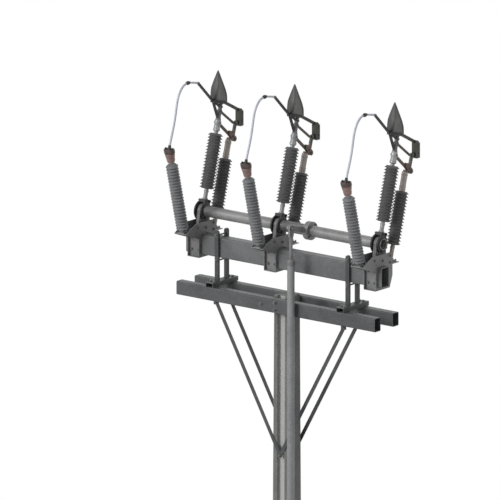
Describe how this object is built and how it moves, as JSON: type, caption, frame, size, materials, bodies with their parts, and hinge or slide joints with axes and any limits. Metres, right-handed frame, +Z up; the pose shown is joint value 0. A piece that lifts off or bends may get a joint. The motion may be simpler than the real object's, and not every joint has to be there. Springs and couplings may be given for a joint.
{
  "type": "air break switch",
  "caption": "Pole-mounted air break switch: rocking insulators on a common shaft with arc hoods, rear contacts and flexible leads, on steel crossarms, a concrete pole and a ground-operated rod.",
  "frame": {"origin": "centre of the pole's foot at ground level", "axes": "+Z up the pole, +X along the crossarms, -Y to the front where the leads are"},
  "size_m": [2.7, 1.284, 11.3159],
  "materials": {
    "concrete": "cast concrete",
    "galvanised": "weathered zinc",
    "bright_steel": "light satin",
    "silicone": "matt",
    "front_silicone": "matt",
    "black_iron": "black coating",
    "hood_moulding": "moulded",
    "copper": "dull oxidised",
    "brown_terminal": "brown",
    "lead_braid": "braided"
  },
  "bodies": {
    "frame": {"pole": "concrete", "front_crossarm": "galvanised", "back_crossarm": "galvanised", "brace_front_left": "galvanised", "brace_front_right": "galvanised", "brace_back_left": "galvanised", "brace_back_right": "galvanised", "saddle_left": "galvanised", "saddle_right": "galvanised", "posts_left": "galvanised", "posts_right": "galvanised", "main_beam": "galvanised", "base_left": "galvanised", "base_middle": "galvanised", "base_right": "galvanised", "front_insulator_left": "front_silicone", "front_insulator_middle": "front_silicone", "front_insulator_right": "front_silicone", "rear_insulator_left": "silicone", "rear_insulator_middle": "silicone", "rear_insulator_right": "silicone", "front_terminal_left": "brown_terminal", "front_terminal_middle": "brown_terminal", "front_terminal_right": "brown_terminal", "rear_contact_left": "copper", "rear_contact_middle": "copper", "rear_contact_right": "copper", "rod_guides": "galvanised", "lead_left": "lead_braid", "lead_middle": "lead_braid", "lead_right": "lead_braid"},
    "rocker": {"shaft": "bright_steel", "crank": "galvanised", "rocker_clamp_left": "black_iron", "rocker_clamp_middle": "black_iron", "rocker_clamp_right": "black_iron", "moving_insulator_left": "silicone", "moving_insulator_middle": "silicone", "moving_insulator_right": "silicone", "moving_contact_left": "bright_steel", "moving_contact_middle": "bright_steel", "moving_contact_right": "bright_steel", "arc_hood_left": "hood_moulding", "arc_hood_middle": "hood_moulding", "arc_hood_right": "hood_moulding"},
    "rod": {"operating_rod": "galvanised"}
  },
  "joints": [
    {"name": "shaft_swing", "type": "hinge", "parent": "frame", "child": "rocker", "pos_m": [0, 0.064, 9.822], "axis": [1, 0, 0], "range_deg": [0, 35], "deforming": ["lead_left", "lead_middle", "lead_right"]},
    {"name": "rod_pivot", "type": "hinge", "parent": "rocker", "child": "rod", "pos_m": [0.262, -0.26635, 9.91052], "axis": [1, 0, 0], "range_deg": [-35, 0]}
  ],
  "couplings": [
    {"joint": "rod_pivot", "follows": "shaft_swing", "ratio": -1}
  ]
}
